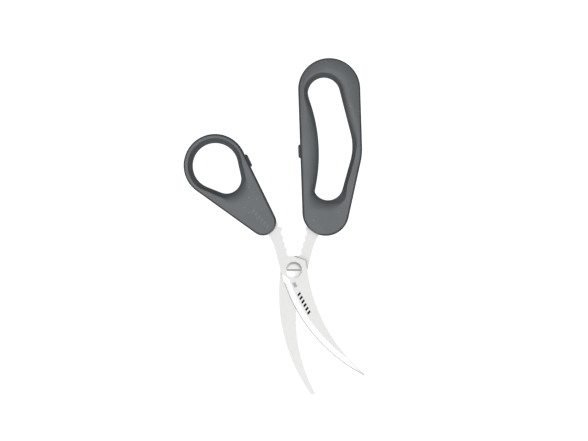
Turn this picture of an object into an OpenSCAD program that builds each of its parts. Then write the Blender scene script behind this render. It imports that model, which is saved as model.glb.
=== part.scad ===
// Poultry shears: two toothed, curved blades on a slotted pivot screw,
// a long closed finger loop on the right and a round thumb loop on the left.
// Frame: +Z is the pivot axis, z = 0 is the surface the shears lie on,
// +Y runs from the pivot to the handles. Millimetres. Drawn part way open.

/* [Blades] */
// Thickness of each blade plate
blade_t = 2.4; // [2:0.1:2.8]
// Distance from the pivot to the blade tips
blade_reach = 94.6; // [88:0.2:95]
// Width of the ground bevel, cutting edge included
bevel_w = 4.4; // [3.4:0.1:5]
// Width of the steep honed strip along the cutting edge
hone_w = 0.35; // [0.25:0.05:0.6]

/* [Gripping teeth] */
// Number of gullets on each tang
gullet_count = 4; // [2:1:4]
// Distance from one gullet to the next
gullet_pitch = 5.1; // [4.9:0.05:5.3]
// Radius of each gullet
gullet_r = 2.7; // [2.5:0.05:2.8]

/* [Pivot] */
// Radius of the shoulder that the front blade turns on
shoulder_r = 3; // [2.6:0.1:3.4]
// Radial running clearance of the front blade on the shoulder
running_gap = 0.05; // [0.02:0.01:0.1]
// Gap between the two blade plates
plate_gap = 0.06; // [0.04:0.01:0.1]
// Radius of the domed screw head
head_r = 5.2; // [4.6:0.1:5.5]
// Radius of the washer under the screw head
washer_r = 6; // [5.7:0.1:6.5]
// Radius of the round nut on the back
nut_r = 6; // [5.6:0.1:6.5]
// Width of the screwdriver slot
slot_w = 1.4; // [1:0.1:1.8]

/* [Handles] */
// Thickness of both handles
handle_t = 15; // [13:0.5:16]
// Radius of the finger loop's top end
finger_top_r = 23.3; // [23:0.1:24.5]
// Radius of the finger loop's lower end
finger_low_r = 17.5; // [17:0.1:18]
// Outer radius of the thumb ring
thumb_ring_r = 23.6; // [23:0.1:24.5]
// Radius of the thumb hole
thumb_hole_r = 17; // [16:0.1:17.2]
// Angle of the thumb handle from the Y axis
thumb_lean = 40.2; // [38:0.2:41]
// How far the side walls pull in from the parting line to the face
side_draft = 0.8; // [0.5:0.1:1]
// Radius of the rounded outer edge
edge_r = 1; // [0.6:0.1:1.2]
// Thickness of the soft grip round the sides of the hard core
grip_skin = 2.2; // [2:0.1:2.4]

/* [Stops] */
// Length of each rubber stop's touching face
stop_len = 8.3; // [7:0.1:9]
// How far each stop stands proud of its handle
stop_proud = 1.4; // [1:0.1:1.6]
// Height of each stop
stop_h = 6; // [5:0.5:7]

/* [Hidden] */
$fn = 96;
eps = 1;

// Heights
mid_z = handle_t / 2;
rear_top = mid_z - plate_gap / 2;
rear_bottom = rear_top - blade_t;
front_bottom = mid_z + plate_gap / 2;
front_top = front_bottom + blade_t;
washer_z = front_top + 0.05;
washer_t = 0.4;
head_z = washer_z + washer_t;
washer_edge = 0.1;
head_rim = 0.5;
head_dome = 1;
slot_floor = head_z + 0.4;
nut_t = handle_t / 2 - 3.2;
nut_floor = 1;
nut_chamfer = 0.5;
thread_r = 2.5;
cone_t = 0.35;
cone_inner = thread_r + 0.7;
cone_outer = nut_r - 0.6;

// Blade curves: each is a circle, given as centre and radius
front_edge = [[109, 29.95], 122.7];
front_spine = [[132.6, 16.3], 123.6];
rear_spine = [[118.7, -18.3], 129.9];
rear_edge = [[116.3, -36.6], 114.75];
// Section through the bevel, as heights above the blade's flat face
edge_z = 0.15;
hone_z = 0.45;
// Span of each bevel as angles about its edge circle: heel, where it is full width, and tip
front_grind = [199.4, 247];
rear_grind = [166, 211];
// Rounded end of the bevel, a hair shallower than the bevel itself
runout_r = 9;
runout_lift = 0.03;

// Tang: points of the left one, the right one is its mirror image
tooth_top = [-8.8, 31.9];
tooth_line = [-8, 24.8];
plate_top = [-4.3, 11.4];
plate_corner = [8.4, 7.2];
plate_side = [10, 0.5];
plate_foot = [8, -4];
heel = [-9.45, -2.6];
neck = [-13.9, 14.6];
neck_top = [-25.9, 28.6];
neck_flare = [[-50.6, 5], 38];
tail_root = [-17, 33.5];
tail_root_r = 5;
tooth_lean = 15.3;
first_gullet = [-7, 27.7];

// Finger handle: circles of the outline and of the hole, anticlockwise
finger_low = [23.9, 43];
finger_corner = [7.6, 90.5];
finger_corner_r = 43.6;
finger_top = [26.5, 135.5];
finger_outline = [[finger_low, finger_low_r], [finger_corner, finger_corner_r], [finger_top, finger_top_r]];
finger_hole_low = [[25.6, 63.4], 11.2];
finger_hole_side = [[4.6, 92.4], 39.2];
finger_hole_top = [[22.5, 132], 12];
finger_bulge = [[-102.7, 86.5], 121.5];

// Thumb handle: the ring, its hole and the end lie along a leaning line
thumb_ring = [-59.1, 78.3];
thumb_hole_at = [-58.8, 78];
thumb_line = [sin(thumb_lean), -cos(thumb_lean)];
thumb_len = 55.7;
thumb_end_r = 10;
thumb_hole_len = 12.8;
thumb_hole_low_r = 11;
thumb_end = thumb_ring + thumb_len * thumb_line;
thumb_hole_low = thumb_hole_at + thumb_hole_len * thumb_line;
thumb_outline = [[thumb_end, thumb_end_r], [thumb_ring, thumb_ring_r]];
thumb_hole = [[thumb_hole_low, thumb_hole_low_r], [thumb_hole_at, thumb_hole_r]];

// Blade tails inside the handles
thumb_tail_len = 20;
thumb_tail = thumb_end - thumb_tail_len * thumb_line;
tail_r = 4.5;
tail_hole_r = 2.2;
finger_tail = [21, 41.5];

// Stops: place and outward direction of each touching face
finger_stop_at = [3.3, 88.8];
finger_stop_turn = 182.1;
thumb_stop_at = [-33.1, 82.5];
thumb_stop_turn = 25.7;
stop_root = 1.6;
stop_skirt = 1.1;
stop_taper = 1;
stop_shoulder = [0.2, 0.4];

// Handle mesh: spacing of the stations round the loop
station_step = 3;

// ---------- Curves ----------

function on_circle(c, r, a) = c + r * [cos(a), sin(a)];

// Outward normal of the line that touches two circles, going from a to b
function tangent_angle(a, b) = let (v = b[0] - a[0])
    atan2(v[1], v[0]) - acos((a[1] - b[1]) / norm(v));

function above(a, low) = a < low ? a + 360 : a;

// Points of an arc, both ends included
function arc_points(c, r, a0, a1) =
    let (n = max(2, ceil(abs(a1 - a0) * PI / 180 * r / station_step)))
    [for (i = [0:n]) on_circle(c, r, a0 + (a1 - a0) * i / n)];

// Points between p and q, without the ends
function between(p, q) =
    let (n = ceil(norm(q - p) / station_step))
    n < 2 ? [] : [for (i = [1:n - 1]) p + (q - p) * i / n];

// Outline of a band pulled round a ring of circles, anticlockwise, as [point, outward normal]
function band(circles) = let (n = len(circles))
    [for (i = [0:n - 1])
        let (me = circles[i], before = circles[(i + n - 1) % n], after = circles[(i + 1) % n],
            a0 = tangent_angle(before, me), a1 = above(tangent_angle(me, after), a0),
            last = on_circle(me[0], me[1], a1), next = on_circle(after[0], after[1], a1),
            arc = arc_points(me[0], me[1], a0, a1), line = between(last, next))
        each concat([for (q = arc) [q, (q - me[0]) / me[1]]],
            [for (q = line) [q, [cos(a1), sin(a1)]]])];

function cross2(a, b) = a[0] * b[1] - a[1] * b[0];

// Distance from p along the unit vector d to a closed loop of points
function ray_loop(p, d, loop) = min([for (i = [0:len(loop) - 1])
    let (a = loop[i] - p, e = loop[(i + 1) % len(loop)] - loop[i], q = cross2(d, e))
    if (abs(q) > 1e-9 && cross2(a, e) / q > 0 && cross2(a, d) / q >= 0 && cross2(a, d) / q <= 1)
        cross2(a, e) / q]);

// Distance from p along d to a circle seen from outside, or far if it is missed
function ray_circle(p, d, circle) =
    let (v = circle[0] - p, along = v * d, miss = v * v - along * along - pow(circle[1], 2))
    miss > 0 || along < 0 ? 999 : along - sqrt(-miss);

// Point of the segment a-b that is nearest to p
function nearest(a, b, p) = a + (b - a) * min(1, max(0, (p - a) * (b - a) / norm(b - a) / norm(b - a)));

// ---------- Handle loops ----------

// A station is [outline point, its outward normal, hole point, direction out of the hole]
function station(edge, m, d, hole) = [edge[0], edge[1], m + d * hole, d];

finger_hole_loop = let (
    a = tangent_angle(finger_hole_low, finger_hole_side),
    b = tangent_angle(finger_hole_side, finger_hole_top))
    concat(arc_points(finger_hole_low[0], finger_hole_low[1], -180, a),
        arc_points(finger_hole_side[0], finger_hole_side[1], a, b),
        arc_points(finger_hole_top[0], finger_hole_top[1], b, 180));

finger_stations = [for (edge = band(finger_outline))
    let (m = nearest(finger_hole_low[0], finger_hole_top[0], edge[0]),
        d = (edge[0] - m) / norm(edge[0] - m))
    station(edge, m, d, min(ray_loop(m, d, finger_hole_loop), ray_circle(m, d, finger_bulge)))];

thumb_hole_loop = [for (edge = band(thumb_hole)) edge[0]];

thumb_stations = [for (edge = band(thumb_outline))
    let (m = nearest(thumb_hole_low, thumb_hole_at, edge[0]), d = (edge[0] - m) / norm(edge[0] - m))
    station(edge, m, d, ray_loop(m, d, thumb_hole_loop))];

// Width of the slope down to the hole: wide below the fingers and on the left,
// and wide where the thumb handle is
flare_w = 3.4;
flare_low = 5.4;
flare_left = 3.6;
thumb_flare_w = 3.8;
thumb_flare_web = 6;
thumb_web = [9, 29];
function finger_flare(s) = flare_w + flare_low * max(0, -s[3][1]) + flare_left * max(0, -s[3][0]);
function thumb_flare(s) = let (w = norm(s[0] - s[2]))
    thumb_flare_w + thumb_flare_web * min(1, max(0, (w - thumb_web[0]) / (thumb_web[1] - thumb_web[0])));

half_h = handle_t / 2;
wall_h = half_h - edge_r;
// Thickness of the grip over the flat faces of the core
face_skin = 3.6;
core_h = half_h - face_skin;

// Sections are lists of [distance, height]: in from the outline, then out from the hole
wall_section = [[0, 0], [side_draft * 0.3, wall_h * 0.55], [side_draft, wall_h],
    for (a = [45, 90]) [side_draft + edge_r * (1 - cos(a)), wall_h + edge_r * sin(a)]];
core_draft = 0.7;
core_wall = [[grip_skin, 0], [grip_skin + core_draft, core_h]];
core_hole = [[grip_skin + core_draft, core_h], [grip_skin, 0]];
function flare_section(flare) = [for (s = [0, 0.3, 0.6, 0.82, 0.95, 1])
    [flare * (1 - s), half_h * sqrt(1 - s * s)]];

// Upper half of one station's section, then the lower half as its mirror image
function placed(s, wall, hole) = let (
    top = concat([for (q = wall) [s[0] - s[1] * q[0], q[1]]],
        [for (q = hole) [s[2] + s[3] * q[0], q[1]]]),
    n = len(top))
    concat(top, [for (i = [n - 2:-1:1]) [top[i][0], -top[i][1]]]);

// Closed loop of sections about the middle plane
module loop_solid(sections) {
    n = len(sections);
    m = len(sections[0]);
    points = [for (ring = sections, q = ring) [q[0][0], q[0][1], mid_z + q[1]]];
    faces = [for (i = [0:n - 1], k = [0:m - 1])
        let (a = i * m + k, b = i * m + (k + 1) % m, c = (i + 1) % n * m + k,
            d = (i + 1) % n * m + (k + 1) % m)
        each [[a, b, c], [b, d, c]]];
    polyhedron(points, faces, convexity = 6);
}

module finger_body() {
    loop_solid([for (s = finger_stations) placed(s, wall_section, flare_section(finger_flare(s)))]);
}

module finger_inner() {
    loop_solid([for (s = finger_stations) placed(s, core_wall, core_hole)]);
}

module thumb_body() {
    loop_solid([for (s = thumb_stations) placed(s, wall_section, flare_section(thumb_flare(s)))]);
}

module thumb_inner() {
    loop_solid([for (s = thumb_stations) placed(s, core_wall, core_hole)]);
}

// ---------- Blades ----------

module at(p) {
    translate([p[0], p[1], 0]) children();
}

module disc(circle) {
    translate(circle[0]) circle(r = circle[1], $fn = 360);
}

// Left tang and the plate round the pivot, with the gullets cut out
module tang_shape() {
    difference() {
        polygon([tooth_top, tooth_line, plate_top, plate_corner, plate_side, plate_foot,
            heel, neck, neck_top, tail_root]);
        disc(neck_flare);
        for (i = [0:gullet_count - 1])
            translate(first_gullet + i * gullet_pitch * [sin(tooth_lean), -cos(tooth_lean)])
                circle(r = gullet_r);
    }
}

// Part of the tang that the handle is moulded over
module tail_shape(tail) {
    difference() {
        hull() {
            translate(tail_root) circle(r = tail_root_r, $fn = 32);
            translate(tail) circle(r = tail_r, $fn = 32);
        }
        translate(tail) circle(r = tail_hole_r);
    }
}

// Curved blade between its convex and concave circles
module blade_shape(convex, concave) {
    difference() {
        intersection() {
            disc(convex);
            disc([[0, 0], blade_reach]);
            translate([-20, -100]) square([100, 100]);
        }
        disc(concave);
    }
}

// Material that grinding takes off, for an edge on a convex or concave circle.
// side is 1 where the blade lies inside the circle and -1 where it lies outside.
module grind(edge, side, span) {
    r = edge[1];
    profile = [[r - side * bevel_w, blade_t], [r - side * hone_w, hone_z], [r, edge_z],
        [r + side * eps, edge_z], [r + side * eps, blade_t + eps],
        [r - side * bevel_w, blade_t + eps]];
    at(edge[0]) rotate(span[0]) rotate_extrude(angle = span[1] - span[0], $fn = 360)
        polygon(profile);
}

// Rounded end of the grind, where the wheel ran out
module grind_runout(edge, side, a) {
    centre = on_circle(edge[0], edge[1] + side * (runout_r + runout_lift - bevel_w), a);
    at(centre) rotate_extrude()
        polygon([[0, edge_z], [runout_r - bevel_w, edge_z], [runout_r - bevel_w + hone_w, hone_z],
            [runout_r, blade_t], [runout_r, blade_t + eps], [0, blade_t + eps]]);
}

module front_blade() {
    color("gainsboro") translate([0, 0, front_bottom]) difference() {
        union() {
            linear_extrude(blade_t) blade_shape(front_edge, front_spine);
            linear_extrude(blade_t) tang_shape();
            linear_extrude(blade_t) tail_shape(thumb_tail);
        }
        translate([0, 0, -eps]) cylinder(r = shoulder_r + running_gap, h = blade_t + 2 * eps);
        grind(front_edge, 1, front_grind);
        grind_runout(front_edge, 1, front_grind[0]);
    }
}

module rear_blade() {
    color("gainsboro") translate([0, 0, rear_top]) mirror([0, 0, 1]) difference() {
        union() {
            linear_extrude(blade_t) blade_shape(rear_spine, rear_edge);
            linear_extrude(blade_t) mirror([1, 0]) tang_shape();
            linear_extrude(blade_t) mirror([1, 0]) tail_shape([-finger_tail[0], finger_tail[1]]);
        }
        translate([0, 0, -eps]) cylinder(r = shoulder_r, h = blade_t + 2 * eps);
        grind(rear_edge, -1, rear_grind);
        grind_runout(rear_edge, -1, rear_grind[0]);
    }
}

// ---------- Pivot ----------

module pivot_screw() {
    dome_r = (head_r * head_r + head_dome * head_dome) / 2 / head_dome;
    top = head_z + head_rim + head_dome;
    color("silver") difference() {
        union() {
            translate([0, 0, nut_floor]) cylinder(r = thread_r, h = nut_t);
            translate([0, 0, rear_bottom]) cylinder(r = shoulder_r, h = head_z - rear_bottom);
            intersection() {
                translate([0, 0, head_z]) cylinder(r = head_r, h = head_rim + head_dome + eps);
                translate([0, 0, top - dome_r]) sphere(r = dome_r);
            }
        }
        translate([-head_r - eps, -slot_w / 2, slot_floor])
            cube([2 * head_r + 2 * eps, slot_w, head_dome + eps]);
    }
}

// Washer whose top slopes down from under the screw head to a thin edge
module head_washer() {
    color("darkgray") translate([0, 0, washer_z]) rotate_extrude()
        polygon([[shoulder_r, 0], [washer_r, 0], [washer_r, washer_edge],
            [head_r, washer_t], [shoulder_r, washer_t]]);
}

// Cone-shaped spring washer that keeps the blades pressed together
module cone_washer() {
    color("darkgray") rotate_extrude()
        polygon([[cone_inner, rear_bottom - cone_t], [cone_inner, rear_bottom],
            [cone_outer, nut_t + cone_t], [cone_outer, nut_t]]);
}

module pivot_nut() {
    color("silver") difference() {
        rotate_extrude() polygon([[0, 0], [nut_r - nut_chamfer, 0], [nut_r, nut_chamfer],
            [nut_r, nut_t - nut_chamfer], [nut_r - nut_chamfer, nut_t], [0, nut_t]]);
        translate([0, 0, nut_floor]) cylinder(r = thread_r, h = nut_t);
    }
}

// ---------- Stops ----------

// Rubber block let into the side of a handle, touching face outward along +X
module stop_block(place, turn) {
    h0 = mid_z - stop_h / 2;
    base = stop_len / 2 + stop_skirt;
    half = [[0, stop_len / 2], [stop_shoulder[0] - stop_proud, base],
        [-stop_proud, base - stop_shoulder[1]], [-stop_proud - stop_root, base - stop_taper]];
    at(place) rotate(turn) translate([0, 0, h0]) linear_extrude(stop_h)
        polygon([each half, for (i = [3:-1:0]) [half[i][0], -half[i][1]]]);
}

module finger_stop() {
    color("black") stop_block(finger_stop_at, finger_stop_turn);
}

module thumb_stop() {
    color("black") stop_block(thumb_stop_at, thumb_stop_turn);
}

// ---------- Handles ----------

module rear_tang_solid() {
    translate([0, 0, rear_bottom]) linear_extrude(blade_t) mirror([1, 0]) union() {
        tang_shape();
        tail_shape([-finger_tail[0], finger_tail[1]]);
    }
}

module front_tang_solid() {
    translate([0, 0, front_bottom]) linear_extrude(blade_t) union() {
        tang_shape();
        tail_shape(thumb_tail);
    }
}

module finger_core() {
    color("dimgray") difference() {
        finger_inner();
        rear_tang_solid();
    }
}

module finger_grip() {
    color("slategray") difference() {
        finger_body();
        finger_inner();
        rear_tang_solid();
        stop_block(finger_stop_at, finger_stop_turn);
    }
}

module thumb_core() {
    color("dimgray") difference() {
        thumb_inner();
        front_tang_solid();
    }
}

module thumb_grip() {
    color("slategray") difference() {
        thumb_body();
        thumb_inner();
        front_tang_solid();
        stop_block(thumb_stop_at, thumb_stop_turn);
    }
}

rear_blade();
front_blade();
pivot_screw();
head_washer();
cone_washer();
pivot_nut();
finger_core();
finger_grip();
finger_stop();
thumb_core();
thumb_grip();
thumb_stop();
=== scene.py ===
"""Poultry shears: sculpted handles, steel and rubber finishes, studio and camera.

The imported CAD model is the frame. Lengths here are in millimetres in the same
frame, and MM turns them into Blender's metres.
"""
import math

import bpy
import numpy as np
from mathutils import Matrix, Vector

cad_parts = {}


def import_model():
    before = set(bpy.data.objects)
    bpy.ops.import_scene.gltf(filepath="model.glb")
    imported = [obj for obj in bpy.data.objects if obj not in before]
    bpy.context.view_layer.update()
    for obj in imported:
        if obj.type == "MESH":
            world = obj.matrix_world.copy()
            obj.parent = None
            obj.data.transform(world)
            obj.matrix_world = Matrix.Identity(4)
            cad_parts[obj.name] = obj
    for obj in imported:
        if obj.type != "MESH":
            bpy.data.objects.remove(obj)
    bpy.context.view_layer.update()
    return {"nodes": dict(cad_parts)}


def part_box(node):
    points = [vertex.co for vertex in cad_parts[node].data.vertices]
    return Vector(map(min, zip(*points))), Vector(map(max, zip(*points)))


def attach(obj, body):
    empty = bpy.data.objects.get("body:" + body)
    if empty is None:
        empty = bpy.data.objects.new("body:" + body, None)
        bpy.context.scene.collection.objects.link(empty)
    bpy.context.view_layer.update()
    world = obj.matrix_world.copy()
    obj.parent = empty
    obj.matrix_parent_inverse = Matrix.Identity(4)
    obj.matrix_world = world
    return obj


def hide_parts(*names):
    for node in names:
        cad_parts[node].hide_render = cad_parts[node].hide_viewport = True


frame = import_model()
nodes = frame["nodes"]

MM = 0.001


# ---------------------------------------------------------------- plane curves

def unit(angle):
    """Unit vector at an angle in degrees."""
    return np.array([math.cos(math.radians(angle)), math.sin(math.radians(angle))])


def length(v):
    """Length of a plane vector."""
    return float(np.hypot(v[0], v[1]))


def tangent_angle(a, b):
    """Direction of the outward normal of the line touching circles a and b, going from a to b."""
    v = b[0] - a[0]
    lean = math.degrees(math.acos((a[1] - b[1]) / length(v)))
    return math.degrees(math.atan2(v[1], v[0])) - lean


def arc(centre, radius, start, end, step):
    """Angles along an arc, both ends included."""
    count = max(2, math.ceil(abs(end - start) * math.pi / 180 * radius / step))
    return [start + (end - start) * i / count for i in range(count + 1)]


def band(circles, step):
    """Outline of a band pulled round circles, anticlockwise: [(point, outward normal)]."""
    outline = []
    for i, (centre, radius) in enumerate(circles):
        before, after = circles[i - 1], circles[(i + 1) % len(circles)]
        start = tangent_angle(before, (centre, radius))
        end = tangent_angle((centre, radius), after)
        end += 360 if end < start else 0
        outline += [(centre + radius * unit(a), unit(a)) for a in arc(centre, radius, start, end, step)]
        last, first = centre + radius * unit(end), after[0] + after[1] * unit(end)
        count = math.ceil(length(first - last) / step)
        outline += [(last + (first - last) * j / count, unit(end)) for j in range(1, count)]
    return outline


def ray_to_loop(origin, direction, loop):
    """Distance from origin along direction to a closed loop of points."""
    a, e = loop - origin, np.roll(loop, -1, axis=0) - loop
    q = direction[0] * e[:, 1] - direction[1] * e[:, 0]
    q = np.where(np.abs(q) < 1e-9, 1e-9, q)
    t = (a[:, 0] * e[:, 1] - a[:, 1] * e[:, 0]) / q
    s = (a[:, 0] * direction[1] - a[:, 1] * direction[0]) / q
    return float(t[(t > 0) & (s >= 0) & (s <= 1)].min())


def ray_to_circle(origin, direction, circle):
    """Distance from origin along direction to a circle seen from outside."""
    v = circle[0] - origin
    along = float(v @ direction)
    inside = circle[1] ** 2 - float(v @ v) + along ** 2
    return NEVER if inside < 0 or along < 0 else along - math.sqrt(inside)


def soft_min(a, b, width):
    """Smaller of two lengths, rounded over where they are nearly equal."""
    blend = max(0.0, width - abs(a - b)) / width
    return min(a, b) - blend * blend * width / 4


def nearest(a, b, p):
    """Point of the segment a-b nearest to p."""
    t = float((p - a) @ (b - a)) / float((b - a) @ (b - a))
    return a + (b - a) * min(1.0, max(0.0, t))


def smooth(low, high, x):
    """0 below low, 1 above high, eased in between."""
    t = min(1.0, max(0.0, (x - low) / (high - low)))
    return t * t * (3 - 2 * t)


def point(x, y):
    """Point or vector in the plane."""
    return np.array([float(x), float(y)])


# ---------------------------------------------------------------- handle shapes

STEP = 0.9            # spacing of the stations round a handle
HOLE_STEP = 0.2       # spacing of the points that describe a hole
NEVER = 999.0         # distance that stands for no crossing

# Circles that the handles' outlines and holes are pulled round: (centre, radius)
FINGER_LOW = (point(23.9, 43.0), 17.5)
FINGER_CORNER = (point(7.6, 90.5), 43.6)
FINGER_TOP = (point(26.5, 135.5), 23.3)
FINGER_HOLE_LOW = (point(25.6, 63.4), 11.2)
FINGER_HOLE_SIDE = (point(4.6, 92.4), 39.2)
FINGER_HOLE_TOP = (point(22.5, 132.0), 12.0)
FINGER_BULGE = (point(-102.7, 86.5), 121.5)
BULGE_BLEND = 1.2     # rounding where the bulge meets the hole

THUMB_LEAN = 40.2     # angle between the thumb handle and -Y
THUMB_AXIS = point(math.sin(math.radians(THUMB_LEAN)), -math.cos(math.radians(THUMB_LEAN)))
THUMB_RING = (point(-59.1, 78.3), 23.6)
THUMB_REACH = 55.7    # from the ring's centre to the rounded end near the pivot
THUMB_END = (THUMB_RING[0] + THUMB_REACH * THUMB_AXIS, 10.0)
THUMB_HOLE = (point(-58.8, 78.0), 17.0)
THUMB_HOLE_REACH = 12.8
THUMB_HOLE_LOW = (THUMB_HOLE[0] + THUMB_HOLE_REACH * THUMB_AXIS, 11.0)

GRIP_LOW, GRIP_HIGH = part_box("finger_grip")
MID_Z = (GRIP_LOW.z + GRIP_HIGH.z) / 2 / MM
HALF_H = (GRIP_HIGH.z - GRIP_LOW.z) / 2 / MM

PARTING_DEPTH = 0.1   # groove where the two mould halves met
PARTING_HALF = 0.16   # half its width
WALL_DRAFT = 0.9      # how far the side walls pull in towards the faces
LIP = 0.45            # rounding of the ridge inside a hole
SOFTEST = 0.4         # smallest rounding where a slope meets a face
CROWN_WIDTH = 8.0     # how far in from the edge a crowned face falls away
CROWN_POWER = 1.5     # how suddenly it falls there: 1 is a straight slope

# Flares: the slopes from the faces down to the holes, with widths in mm and angles in degrees
RIGHT_FLARE = 3.0               # finger hole, low on its right side
RIGHT_GAIN, RIGHT_LOSS = 3.6, 0.6
LEFT_RIM = 4.2                  # flat rim that the left flare leaves outside it
LEFT_LEAST = 1.7
TOP_FLARE, BOTTOM_FLARE = 4.0, 8.9
RIGHT_ANGLE, RIGHT_ANGLE_GAIN = 66, 2
LEFT_ANGLE, LEFT_ANGLE_LOSS = 64, 4
TOP_ANGLE, BOTTOM_ANGLE = 65, 61
CORNER_EASE = 36                # four times the easing of the flare in the lower right corner
THUMB_FLARE, WEB_FLARE = 3.8, 6.2   # round the thumb ring, and what is added towards the web
THUMB_ANGLE = 62.0
WEB_TURN = (0.55, 0.98)         # cosines of the turn from the web's direction, between which it is added
ANGLE_STEP = 0.5                # how finely a flare is steepened until it fits the height

# Heights in Y between which the finger loop changes
WIDENS, NARROWS = (88, 106), (114, 130)
STEEPENS, EASES = (100, 125), (106, 118)
CROWNS = (98, 126)

# Fall of the face towards the outer edge, and rounding of that edge
FINGER_CROWN, THUMB_CROWN = 0.15, 0.15
TOP_CROWN, LEFT_CROWN = 2.8, 0.8
FINGER_EDGE, THUMB_EDGE = 1.3, 1.2

# Steps that each part of a section is drawn with
WALL_STEPS, EDGE_STEPS, FACE_STEPS = 7, 8, 16
ROUND_STEPS, SLOPE_STEPS, LIP_STEPS = 14, 5, 4


def finger_hole_points():
    """Outline of the finger hole without its bulge."""
    low, side, top = FINGER_HOLE_LOW, FINGER_HOLE_SIDE, FINGER_HOLE_TOP
    a, b = tangent_angle(low, side), tangent_angle(side, top)
    spans = ((low, -180, a), (side, a, b), (top, b, 180))
    return np.array([c + r * unit(t) for (c, r), s, e in spans for t in arc(c, r, s, e, HOLE_STEP)])


def finger_section(here, hole, out):
    """Flare width, flare angle, crown drop and edge radius at one station of the finger loop."""
    right, left = max(0.0, out[0]) ** 2, max(0.0, -out[0]) ** 2
    up, down = max(0.0, out[1]) ** 2, max(0.0, -out[1]) ** 2
    y = hole[1]
    right_flare = RIGHT_FLARE + RIGHT_GAIN * smooth(*WIDENS, y) - RIGHT_LOSS * smooth(*NARROWS, y)
    left_flare = max(LEFT_LEAST, length(here - hole) - LEFT_RIM)
    flare = right * right_flare + left * left_flare + up * TOP_FLARE + down * BOTTOM_FLARE
    right_angle = RIGHT_ANGLE + RIGHT_ANGLE_GAIN * smooth(*STEEPENS, y)
    left_angle = LEFT_ANGLE - LEFT_ANGLE_LOSS * smooth(*EASES, y)
    angle = right * right_angle + left * left_angle + up * TOP_ANGLE + down * BOTTOM_ANGLE
    angle -= CORNER_EASE * right * down
    high = smooth(*CROWNS, here[1])
    crown = TOP_CROWN * high + (LEFT_CROWN * left + FINGER_CROWN) * (1 - high)
    return flare, angle, crown, FINGER_EDGE


def thumb_section(here, hole, out):
    """The same for the thumb loop, where only the direction out of the hole counts."""
    web = smooth(*WEB_TURN, float(out @ THUMB_AXIS))
    return THUMB_FLARE + WEB_FLARE * web, THUMB_ANGLE, THUMB_CROWN, THUMB_EDGE


def fitted_slope(flare, angle, height):
    """Slope of a flare and the rounding at its top, steepened until the rounding is soft enough."""
    while True:
        slope = math.radians(angle)
        spare = flare * math.tan(slope) - height
        rounding = spare / (math.sin(slope) * math.tan(slope) - 1 + math.cos(slope))
        if rounding >= SOFTEST:
            return slope, rounding
        angle += ANGLE_STEP


def flare_profile(flare, angle, height):
    """Slope from a face down to a hole as (distance from the hole, height), face end first."""
    slope, rounding = fitted_slope(flare, angle, height)
    points = []
    for i in range(ROUND_STEPS + 1):
        a = slope * i / ROUND_STEPS
        points.append((flare - rounding * math.sin(a), height - rounding * (1 - math.cos(a))))
    top_x, top_z = points[-1]
    lip_x, lip_z = LIP * (1 - math.sin(slope)), LIP * math.cos(slope)
    for i in range(1, SLOPE_STEPS + 1):
        t = i / SLOPE_STEPS
        points.append((top_x + (lip_x - top_x) * t, top_z + (lip_z - top_z) * t))
    for i in range(1, LIP_STEPS + 1):
        a = slope + (math.pi / 2 - slope) * i / LIP_STEPS
        points.append((LIP * (1 - math.sin(a)), LIP * math.cos(a)))
    return points


def side_wall(here, normal, wall_top):
    """Points up the outer wall from the parting groove, drafted inwards."""
    points = [(here - normal * PARTING_DEPTH, 0.0), (here, PARTING_HALF)]
    for i in range(1, WALL_STEPS + 1):
        t = i / WALL_STEPS
        points.append((here - normal * WALL_DRAFT * t * t, PARTING_HALF + (wall_top - PARTING_HALF) * t))
    return points


def upper_profile(here, normal, hole, out, shape):
    """Points of the upper half of one section, from the parting line over the face to the hole."""
    flare, angle, crown, edge = shape
    lean = math.atan(CROWN_POWER * crown / CROWN_WIDTH)
    turn = math.pi / 2 - lean
    wall_top = HALF_H - crown - edge * math.sin(turn)
    points = side_wall(here, normal, wall_top)
    for i in range(1, EDGE_STEPS + 1):
        a = turn * i / EDGE_STEPS
        start = here - normal * (WALL_DRAFT + edge * (1 - math.cos(a)))
        points.append((start, wall_top + edge * math.sin(a)))
    end = hole + out * flare
    width = length(end - start)
    for i in range(1, FACE_STEPS):
        t = (1 - math.cos(math.pi * i / FACE_STEPS)) / 2
        drop = max(0.0, 1 - t * width / CROWN_WIDTH)
        points.append((start + (end - start) * t, HALF_H - crown * drop ** CROWN_POWER))
    lip = max(0.0, 1 - width / CROWN_WIDTH) ** CROWN_POWER * crown
    points += [(hole + out * x, z) for x, z in flare_profile(flare, angle, HALF_H - lip)]
    return points


def tube_faces(count, size):
    """Quads between neighbouring rings of a closed tube, by point number."""
    faces = []
    for i in range(count):
        j = (i + 1) % count
        for k in range(size):
            m = (k + 1) % size
            faces.append((i * size + k, j * size + k, j * size + m, i * size + m))
    return faces


def smooth_piece(name, points, faces):
    """New object with a smooth-shaded mesh."""
    mesh = bpy.data.meshes.new(name)
    mesh.from_pydata(points, [], faces)
    mesh.polygons.foreach_set("use_smooth", [True] * len(faces))
    mesh.update()
    piece = bpy.data.objects.new(name, mesh)
    bpy.context.scene.collection.objects.link(piece)
    return piece


def handle_mesh(name, outline, medial, hole_distance, section):
    """Closed loop of sections set upright round a hole."""
    rings = []
    for here, normal in band(outline, STEP):
        base = nearest(medial[0], medial[1], here)
        out = (here - base) / length(here - base)
        hole = base + out * hole_distance(base, out)
        top = upper_profile(here, normal, hole, out, section(here, hole, out))
        under = [(p, -z) for p, z in reversed(top[1:-1])]
        rings.append([(p[0] * MM, p[1] * MM, (MID_Z + z) * MM) for p, z in top + under])
    points = [v for ring in rings for v in ring]
    return smooth_piece(name, points, tube_faces(len(rings), len(rings[0])))


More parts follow.
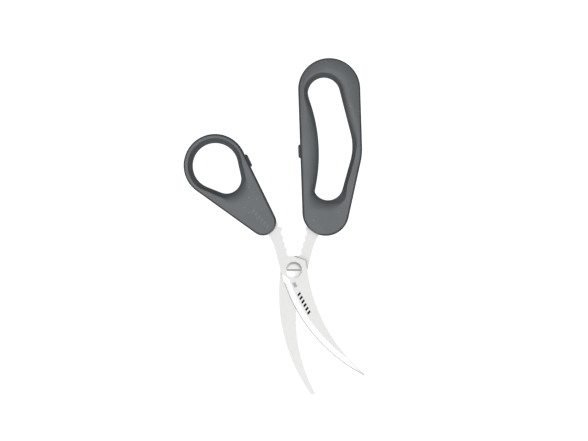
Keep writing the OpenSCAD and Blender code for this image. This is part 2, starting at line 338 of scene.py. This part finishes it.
def finger_handle():
    """Sculpted grip of the long closed finger loop."""
    loop = finger_hole_points()

    def distance(base, out):
        straight = ray_to_loop(base, out, loop)
        return soft_min(straight, ray_to_circle(base, out, FINGER_BULGE), BULGE_BLEND)

    medial = (FINGER_HOLE_LOW[0], FINGER_HOLE_TOP[0])
    outline = [FINGER_LOW, FINGER_CORNER, FINGER_TOP]
    return handle_mesh("finger_grip_skin", outline, medial, distance, finger_section)


def thumb_handle():
    """Sculpted grip of the round thumb loop."""
    loop = np.array([p for p, _ in band([THUMB_HOLE_LOW, THUMB_HOLE], HOLE_STEP)])

    def distance(base, out):
        return ray_to_loop(base, out, loop)

    medial = (THUMB_HOLE_LOW[0], THUMB_HOLE[0])
    outline = [THUMB_END, THUMB_RING]
    return handle_mesh("thumb_grip_skin", outline, medial, distance, thumb_section)


# ---------------------------------------------------------------- materials

class Nodes:
    """Short way to write a node tree."""

    def __init__(self, tree):
        self.tree = tree

    def add(self, kind, inputs=None, **settings):
        made = self.tree.nodes.new(kind)
        for key, value in settings.items():
            setattr(made, key, value)
        for key, value in (inputs or {}).items():
            self.feed(made.inputs[key], value)
        return made

    def feed(self, socket, value):
        if isinstance(value, bpy.types.NodeSocket):
            self.tree.links.new(value, socket)
        else:
            socket.default_value = value

    def math(self, operation, a, b=0.0, c=0.0):
        return self.add("ShaderNodeMath", {0: a, 1: b, 2: c}, operation=operation).outputs[0]

    def split(self, vector):
        return self.add("ShaderNodeSeparateXYZ", {0: vector}).outputs

    def place(self):
        """Position in the shared frame, in metres."""
        return self.add("ShaderNodeTexCoord").outputs["Object"]

    def noise(self, vector, scale, detail=2.0, roughness=0.5):
        inputs = {"Vector": vector, "Scale": scale, "Detail": detail, "Roughness": roughness}
        return self.add("ShaderNodeTexNoise", inputs).outputs["Fac"]

    def remap(self, value, low, high, to_low=0.0, to_high=1.0):
        inputs = {0: value, 1: low, 2: high, 3: to_low, 4: to_high}
        return self.add("ShaderNodeMapRange", inputs).outputs[0]

    def mix(self, factor, a, b):
        made = self.add("ShaderNodeMix", {0: factor}, data_type="RGBA")
        for socket, value in ((6, a), (7, b)):
            linked = isinstance(value, bpy.types.NodeSocket)
            self.feed(made.inputs[socket], value if linked else (*value, 1.0))
        return made.outputs[2]

    def bump(self, height, distance, strength=1.0, normal=None):
        inputs = {"Height": height, "Distance": distance, "Strength": strength}
        if normal is not None:
            inputs["Normal"] = normal
        return self.add("ShaderNodeBump", inputs).outputs["Normal"]


class Surface(Nodes):
    """A material and the nodes that feed its shader."""

    def __init__(self, name):
        self.material = bpy.data.materials.new(name)
        self.material.use_nodes = True
        super().__init__(self.material.node_tree)
        self.shader = self.tree.nodes["Principled BSDF"]

    def set(self, key, value):
        self.feed(self.shader.inputs[key], value)


def grey(level):
    """Neutral colour of a given level."""
    return (level, level, level)


GRIP_DARK, GRIP_LIGHT = (0.158, 0.177, 0.188), (0.197, 0.217, 0.228)
SPECK_COLOUR, SPECK_COVER = (0.38, 0.41, 0.425), 0.6
SPECK_CHOICE = 0.84             # about the share of the cells that hold no speck
WEB_BAR_COLOUR, WEB_BAR_COVER = (0.27, 0.295, 0.305), 0.5


def specks(n, place):
    """Sparse round dots: 1 in the middle of some cells, 0 elsewhere."""
    cells = n.add("ShaderNodeTexVoronoi", {"Vector": place, "Scale": 330, "Randomness": 1.0})
    dot = n.remap(cells.outputs["Distance"], 0.1, 0.2, 1.0, 0.0)
    pick = n.add("ShaderNodeSeparateColor", {0: cells.outputs["Color"]}).outputs[0]
    return n.math("MULTIPLY", dot, n.math("GREATER_THAN", pick, SPECK_CHOICE))


def soft_grip(name, marked):
    """Soft-touch dark blue-grey moulding with sparse pale specks and a fine pebbled skin."""
    n = Surface(name)
    place = n.place()
    cloud = n.noise(place, 55, 3)
    grain = n.noise(place, 900, 2)
    tone = n.math("ADD", n.math("MULTIPLY", cloud, 0.6), n.math("MULTIPLY", grain, 0.4))
    body = n.mix(n.remap(tone, 0.35, 0.65), GRIP_DARK, GRIP_LIGHT)
    body = n.mix(n.math("MULTIPLY", specks(n, place), SPECK_COVER), body, SPECK_COLOUR)
    if marked:
        u, v = turned_place(n, n.split(place), WEB_MARK_AT, WEB_MARK_LEAN)
        bars = slanted_bars(n, u, v, WEB_MARK_LENGTH, WEB_MARK_HEIGHT)
        body = n.mix(n.math("MULTIPLY", bars, WEB_BAR_COVER), body, WEB_BAR_COLOUR)
    n.set("Base Color", body)
    n.set("Roughness", n.remap(grain, 0.3, 0.7, 0.5, 0.62))
    n.set("Specular IOR Level", 0.75)
    fine = n.bump(grain, 0.00006, 0.5)
    n.set("Normal", n.bump(n.noise(place, 2600, 2), 0.00002, 0.4, fine))
    return n.material


def moulded_core():
    """Hard glass-filled plastic with faint flow streaks."""
    n = Surface("moulded_core")
    place = n.place()
    flow = n.noise(n.add("ShaderNodeMapping", {"Vector": place, "Scale": (1.0, 0.2, 1.0)}).outputs[0], 260, 4)
    n.set("Base Color", n.mix(flow, (0.075, 0.08, 0.085), (0.115, 0.12, 0.125)))
    n.set("Roughness", n.remap(flow, 0.3, 0.7, 0.42, 0.55))
    n.set("Normal", n.bump(n.noise(place, 1500, 2), 0.00004, 0.5))
    return n.material


def stop_rubber():
    """Dull dark rubber with a slightly dusty surface."""
    n = Surface("stop_rubber")
    place = n.place()
    dust = n.noise(place, 700, 4)
    n.set("Base Color", n.mix(n.remap(dust, 0.4, 0.7), (0.075, 0.083, 0.088), (0.105, 0.114, 0.12)))
    n.set("Roughness", n.remap(dust, 0.3, 0.7, 0.7, 0.85))
    n.set("Normal", n.bump(n.noise(place, 1800, 3), 0.00005, 0.6))
    return n.material


def ring_place(n, centre):
    """Distance from a centre, angle about it, and the position's x, y and z, as sockets."""
    xyz = n.split(n.place())
    dx = n.math("SUBTRACT", xyz[0], centre[0] * MM)
    dy = n.math("SUBTRACT", xyz[1], centre[1] * MM)
    radius = n.math("SQRT", n.math("ADD", n.math("MULTIPLY", dx, dx), n.math("MULTIPLY", dy, dy)))
    return radius, n.math("ARCTAN2", dy, dx), xyz


def stretched_noise(n, along, across, scale_along, scale_across, detail=3.0):
    """Noise over two sockets with a scale for each, which draws it out into lines."""
    u = n.math("MULTIPLY", along, scale_along)
    v = n.math("MULTIPLY", across, scale_across)
    vector = n.add("ShaderNodeCombineXYZ", {0: u, 1: v, 2: 0.0}).outputs[0]
    return n.noise(vector, 1.0, detail, 0.6)


FRONT_CENTRE, REAR_CENTRE = (109.0, 30.0), (118.0, -25.0)   # that the blades curve about
SPINE_CENTRE, SPINE_RADIUS = point(132.6, 16.3), 123.6      # back of the front blade
SPINE_WIDTH = 0.6               # of the painted shade along it

# How far a face is turned up or down (1 is flat) where the bevel's finish and the painted shade of the hone
# and of the side walls begin and where they are full
BEVEL_FACING, HONE_SHADE_FACING, SIDE_SHADE_FACING = (0.98, 0.95), (0.84, 0.79), (0.35, 0.25)

STEEL_DARK, STEEL_LIGHT = (0.905, 0.905, 0.895), (0.95, 0.95, 0.945)
LINE_COLOUR, LINE_COVER = (0.84, 0.84, 0.835), 0.25
# The hone and the side walls are painted dark as shade: the hone stands in for its dark reflection, and the
# side walls are painted dark so that the steel beside them reflects a shadow band.
BEVEL_COLOUR, HONE_SHADE_COLOUR, SIDE_SHADE_COLOUR = grey(0.95), grey(0.3), grey(0.16)
# Painted shade: a dark line along the spine where the bevel meets it, in place of the shading of that edge.
SPINE_SHADE_COLOUR, SPINE_SHADE_COVER = grey(0.25), 0.6
ETCH_COLOUR, DASH_COLOUR = grey(0.03), grey(0.52)
ETCH_ROUGHER, BEVEL_SMOOTHER = 0.3, 0.28


def satin_colour(n, lines, bevel):
    """Cloudy pale steel with fine darker lines, and a plain bevel."""
    steel = n.mix(n.noise(n.place(), 45, 2), STEEL_DARK, STEEL_LIGHT)
    steel = n.mix(n.math("MULTIPLY", n.remap(lines, 0.35, 0.65), LINE_COVER), steel, LINE_COLOUR)
    return n.mix(bevel, steel, BEVEL_COLOUR)


def front_marks(n, xyz, bevel, steel):
    """Adds the painted shade along the spine of the bevel, the etched bars and the dash, and gives back the
    bars too.
    """
    reach = ring_place(n, SPINE_CENTRE)[0]
    spine = n.remap(reach, SPINE_RADIUS * MM, (SPINE_RADIUS + SPINE_WIDTH) * MM, SPINE_SHADE_COVER, 0.0)
    # Painted shade along the spine, only on the bevel.
    steel = n.mix(n.math("MULTIPLY", spine, bevel), steel, SPINE_SHADE_COLOUR)
    mark, dash = etched_mark(n, xyz)
    return n.mix(dash, n.mix(mark, steel, ETCH_COLOUR), DASH_COLOUR), mark


def blade_steel(name, centre, marked):
    """Satin steel with lines that follow the blade's curve, a cross-ground bevel, and painted shade on the
    hone and the side walls.
    """
    n = Surface(name)
    radius, angle, xyz = ring_place(n, centre)
    lines = stretched_noise(n, radius, angle, 9000.0, 34.0)
    cross = stretched_noise(n, angle, radius, 1100.0, 260.0)
    normal = n.add("ShaderNodeNewGeometry").outputs["True Normal"]
    facing = n.math("ABSOLUTE", n.split(normal)[2])
    bevel, hone_shade, side = (n.remap(facing, *f) for f in (BEVEL_FACING, HONE_SHADE_FACING, SIDE_SHADE_FACING))
    steel = satin_colour(n, lines, bevel)
    rough = n.remap(lines, 0.3, 0.7, 0.54, 0.6)
    if marked:
        steel, mark = front_marks(n, xyz, bevel, steel)
        rough = n.math("ADD", rough, n.math("MULTIPLY", mark, ETCH_ROUGHER))
    # Painted shade: the steep hone and the side walls are coloured dark.
    n.set("Base Color", n.mix(side, n.mix(hone_shade, steel, HONE_SHADE_COLOUR), SIDE_SHADE_COLOUR))
    n.set("Metallic", n.remap(side, 0.0, 1.0, 0.85, 0.5))
    n.set("Roughness", n.math("SUBTRACT", rough, n.math("MULTIPLY", bevel, BEVEL_SMOOTHER)))
    fine = n.math("MULTIPLY", lines, n.math("SUBTRACT", 1.0, bevel))
    height = n.math("ADD", fine, n.math("MULTIPLY", cross, bevel))
    n.set("Normal", n.bump(height, 0.000006, 0.5))
    return n.material


MARK_AT = point(7.6, -25.0)     # middle of the etched bars
MARK_LEAN = -62.0               # direction they run in
MARK_LENGTH, MARK_HEIGHT, MARK_PITCH, MARK_FILL = 18.6, 2.8, 3.1, 0.52
MARK_SLANT = 0.35
MARK_SHIFT = 100                # whole pitches that keep the place along the row positive
MARK_ABOVE = 2.0                # height above the middle plane from which the steel is etched
DASH_AT, DASH_SIZE = point(0.7, -11.2), point(3.9, 2.4)
WEB_MARK_AT = point(-25.0, 38.4)   # middle of the faint bars on the thumb web
WEB_MARK_LEAN = -46.7
WEB_MARK_LENGTH, WEB_MARK_HEIGHT = 18.6, 2.8


def boxed(n, u, v, half_u, half_v):
    """1 inside a rectangle about the origin of u, v."""
    inside_u = n.math("LESS_THAN", n.math("ABSOLUTE", u), half_u * MM)
    inside_v = n.math("LESS_THAN", n.math("ABSOLUTE", v), half_v * MM)
    return n.math("MULTIPLY", inside_u, inside_v)


def turned_place(n, xyz, centre, lean):
    """Coordinates along and across a direction, about a centre."""
    c, s = math.cos(math.radians(lean)), math.sin(math.radians(lean))
    dx = n.math("SUBTRACT", xyz[0], centre[0] * MM)
    dy = n.math("SUBTRACT", xyz[1], centre[1] * MM)
    u = n.math("ADD", n.math("MULTIPLY", dx, c), n.math("MULTIPLY", dy, s))
    v = n.math("SUBTRACT", n.math("MULTIPLY", dy, c), n.math("MULTIPLY", dx, s))
    return u, v


def slanted_bars(n, u, v, long, high):
    """A row of slanted bars about the origin of u, v, as long as a whole number of them."""
    slanted = n.math("ADD", u, n.math("MULTIPLY", v, MARK_SLANT))
    beside = n.math("PINGPONG", n.math("ADD", slanted, MARK_PITCH * MM * MARK_SHIFT), MARK_PITCH * MM / 2)
    bars = n.math("GREATER_THAN", beside, MARK_PITCH * MM / 2 * (1 - MARK_FILL))
    return n.math("MULTIPLY", bars, boxed(n, slanted, v, long / 2, high / 2))


def etched_mark(n, xyz):
    """A plain row of slanted bars and one short dash on the upper face, in place of lettering."""
    u, v = turned_place(n, xyz, MARK_AT, MARK_LEAN)
    bars = slanted_bars(n, u, v, MARK_LENGTH, MARK_HEIGHT)
    u, v = turned_place(n, xyz, DASH_AT, MARK_LEAN)
    dash = boxed(n, u, v, DASH_SIZE[0] / 2, DASH_SIZE[1] / 2)
    upper = n.math("GREATER_THAN", xyz[2], (MID_Z + MARK_ABOVE) * MM)
    return n.math("MULTIPLY", bars, upper), n.math("MULTIPLY", dash, upper)


SLOT_HALF = 0.75                # half width of the screwdriver slot
SLOT_LOW, SLOT_TOP = 2.9, 4.0   # heights above the middle plane between which the slot is painted dark as shade
SLOT_SHADE_COLOUR = grey(0.36)
RING_SHADE = 0.9                # darkest turned ring, as a share of the steel's colour


def turned_steel(name, colour, low, high, slotted=False):
    """Steel turned on a lathe: fine rings about the pivot, and a screwdriver slot painted dark as shade."""
    n = Surface(name)
    radius, angle, xyz = ring_place(n, (0.0, 0.0))
    rings = stretched_noise(n, radius, angle, 7000.0, 1.2)
    n.set("Metallic", 1.0)
    steel = n.mix(n.remap(rings, 0.3, 0.7), colour, tuple(RING_SHADE * c for c in colour))
    if slotted:
        inside = n.math("LESS_THAN", n.math("ABSOLUTE", xyz[1]), SLOT_HALF * MM)
        above = n.math("GREATER_THAN", xyz[2], (MID_Z + SLOT_LOW) * MM)
        below = n.math("LESS_THAN", xyz[2], (MID_Z + SLOT_TOP) * MM)
        slot = n.math("MULTIPLY", inside, n.math("MULTIPLY", above, below))
        # Painted shade: the floor of the slot is coloured dark, where its recess lies in shade.
        steel = n.mix(slot, steel, SLOT_SHADE_COLOUR)
    n.set("Base Color", steel)
    n.set("Roughness", n.remap(rings, 0.3, 0.7, low, high))
    n.set("Normal", n.bump(rings, 0.000008, 0.4))
    return n.material


def studio_paper():
    """Pale floor that glows, so that it stays even."""
    n = Surface("studio_paper")
    tone = n.noise(n.place(), 30, 2)
    n.set("Base Color", n.mix(tone, grey(0.5), grey(0.51)))
    n.set("Roughness", 0.9)
    n.set("Specular IOR Level", 0.0)
    n.set("Emission Color", (1.0, 1.0, 1.0, 1.0))
    n.set("Emission Strength", 0.95)
    return n.material


# ---------------------------------------------------------------- pieces

WELD_REACH = 0.002              # points nearer than this are one point
BEVEL_SEGMENTS = 3
BEVEL_ANGLE, SPLIT_ANGLE = 28, 20   # edges sharper than these are bevelled or kept crisp


def dress(node_name, material, bevel=None):
    """Keeps a CAD node with a new material, welded seams, softened edges and shading by angle."""
    obj = nodes[node_name]
    obj.data.materials.clear()
    obj.data.materials.append(material)
    obj.data.polygons.foreach_set("material_index", [0] * len(obj.data.polygons))
    weld = obj.modifiers.new("weld", "WELD")
    weld.merge_threshold = WELD_REACH * MM
    if bevel:
        edge = obj.modifiers.new("edge", "BEVEL")
        edge.width = bevel * MM
        edge.segments = BEVEL_SEGMENTS
        edge.limit_method = "ANGLE"
        edge.angle_limit = math.radians(BEVEL_ANGLE)
        edge.use_clamp_overlap = True
    obj.data.polygons.foreach_set("use_smooth", [True] * len(obj.data.polygons))
    split = obj.modifiers.new("split", "EDGE_SPLIT")
    split.split_angle = math.radians(SPLIT_ANGLE)
    weighted = obj.modifiers.new("weighted", "WEIGHTED_NORMAL")
    weighted.mode = "FACE_AREA_WITH_ANGLE"


HANDLES = (
    (finger_handle, "finger_half", "finger_grip", False),
    (thumb_handle, "thumb_half", "thumb_grip", True),
)


def build_handles():
    """Sculpted grips in place of the two plain CAD ones."""
    for maker, body, node_name, marked in HANDLES:
        piece = maker()
        piece.data.materials.append(soft_grip(node_name + "_plastic", marked))
        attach(piece, body)
        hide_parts(node_name)


def dress_frame():
    """New materials for the CAD pieces that stay, with the radius that softens their edges."""
    front = blade_steel("front_steel", FRONT_CENTRE, True)
    rear = blade_steel("rear_steel", REAR_CENTRE, False)
    pivot = turned_steel("pivot_steel", (0.84, 0.84, 0.835), 0.2, 0.28)
    spring = turned_steel("spring_steel", (0.5, 0.5, 0.51), 0.3, 0.4)
    screw = turned_steel("screw_steel", (0.86, 0.86, 0.855), 0.2, 0.28, slotted=True)
    core, rubber = moulded_core(), stop_rubber()
    dress("front_blade", front)
    dress("rear_blade", rear)
    dress("pivot_screw", screw, 0.12)
    dress("head_washer", pivot, 0.1)
    dress("pivot_nut", pivot, 0.12)
    dress("cone_washer", spring)
    dress("finger_core", core)
    dress("thumb_core", core)
    dress("finger_stop", rubber, 0.35)
    dress("thumb_stop", rubber, 0.35)


# ---------------------------------------------------------------- studio

VIEW_CENTRE = point(0.1, 37.0)      # middle of the picture
VIEW_WIDTH = 441.0                  # width of the picture at the shears
CAMERA_HEIGHT = 1500.0
SENSOR = 36.0
FAR = 20.0                          # how far the camera sees, in metres


def camera():
    """Camera straight above, as in the photo."""
    data = bpy.data.cameras.new("camera")
    data.sensor_width = SENSOR
    data.lens = SENSOR * (CAMERA_HEIGHT - MID_Z) / VIEW_WIDTH
    data.clip_end = FAR
    obj = bpy.data.objects.new("camera", data)
    obj.location = (VIEW_CENTRE[0] * MM, VIEW_CENTRE[1] * MM, CAMERA_HEIGHT * MM)
    bpy.context.scene.collection.objects.link(obj)
    bpy.context.scene.camera = obj


def softbox(name, direction, distance, size, power):
    """Square area light that faces the shears; its location vector is its direction."""
    data = bpy.data.lights.new(name, "AREA")
    data.size = size
    data.energy = power
    obj = bpy.data.objects.new(name, data)
    towards = np.array(direction, float) / np.linalg.norm(direction)
    obj.location = [float(c) * distance for c in towards]
    obj.location.y += VIEW_CENTRE[1] * MM
    obj.rotation_euler = obj.location.to_track_quat("Z", "Y").to_euler()
    bpy.context.scene.collection.objects.link(obj)
    return obj


SKY_AXIS = (-0.06, -0.16, 0.98)    # middle of the bright part of the sky
# Brightness of the sky from opposite that axis (0) to along it (1)
SKY_LEVELS = ((0.0, 0.03), (0.49, 0.04), (0.55, 0.06), (0.7, 0.1), (0.8, 0.35), (0.88, 1.0), (1.0, 1.12))

# Lamp that shows only as a highlight on the steel, in metres and watts
GLINT_FROM = (-0.5, -0.55, 0.8)
GLINT_DISTANCE, GLINT_SIZE, GLINT_POWER = 2.0, 1.8, 6

FLOOR_HALF, FLOOR_DROP = 3.0, 0.0002    # in metres; the drop keeps it clear of the handles


def world():
    """Pale sky, brightest overhead, over a dark ground, so that what faces down stays dark."""
    made = bpy.data.worlds.new("studio")
    bpy.context.scene.world = made
    made.use_nodes = True
    n = Nodes(made.node_tree)
    direction = n.add("ShaderNodeTexCoord").outputs["Generated"]
    axis = tuple(c / math.hypot(*SKY_AXIS) for c in SKY_AXIS)
    towards = n.add("ShaderNodeVectorMath", {0: direction, 1: axis}, operation="DOT_PRODUCT").outputs["Value"]
    level = n.add("ShaderNodeFloatCurve", {1: n.remap(towards, -1.0, 1.0)})
    curve = level.mapping.curves[0]
    for at, value in SKY_LEVELS[1:-1]:
        curve.points.new(at, value)
    curve.points[0].location = SKY_LEVELS[0]
    curve.points[-1].location = SKY_LEVELS[-1]
    level.mapping.update()
    n.feed(made.node_tree.nodes["Background"].inputs["Strength"], level.outputs[0])
    n.feed(made.node_tree.nodes["Background"].inputs["Color"], (1.0, 1.0, 1.0, 1.0))


def floor():
    """Plain square sheet just under the handles."""
    mesh = bpy.data.meshes.new("floor")
    corners = [(-1, -1), (1, -1), (1, 1), (-1, 1)]
    mesh.from_pydata([(x * FLOOR_HALF, y * FLOOR_HALF, -FLOOR_DROP) for x, y in corners], [], [(0, 1, 2, 3)])
    obj = bpy.data.objects.new("floor", mesh)
    obj.data.materials.append(studio_paper())
    obj.visible_diffuse = False
    obj.visible_glossy = False
    bpy.context.scene.collection.objects.link(obj)


def studio():
    """Floor, sky and the one lamp."""
    floor()
    world()
    glint = softbox("glint", GLINT_FROM, GLINT_DISTANCE, GLINT_SIZE, GLINT_POWER)
    glint.visible_diffuse = False
    bpy.context.scene.view_settings.view_transform = "Standard"


camera()
build_handles()
dress_frame()
studio()
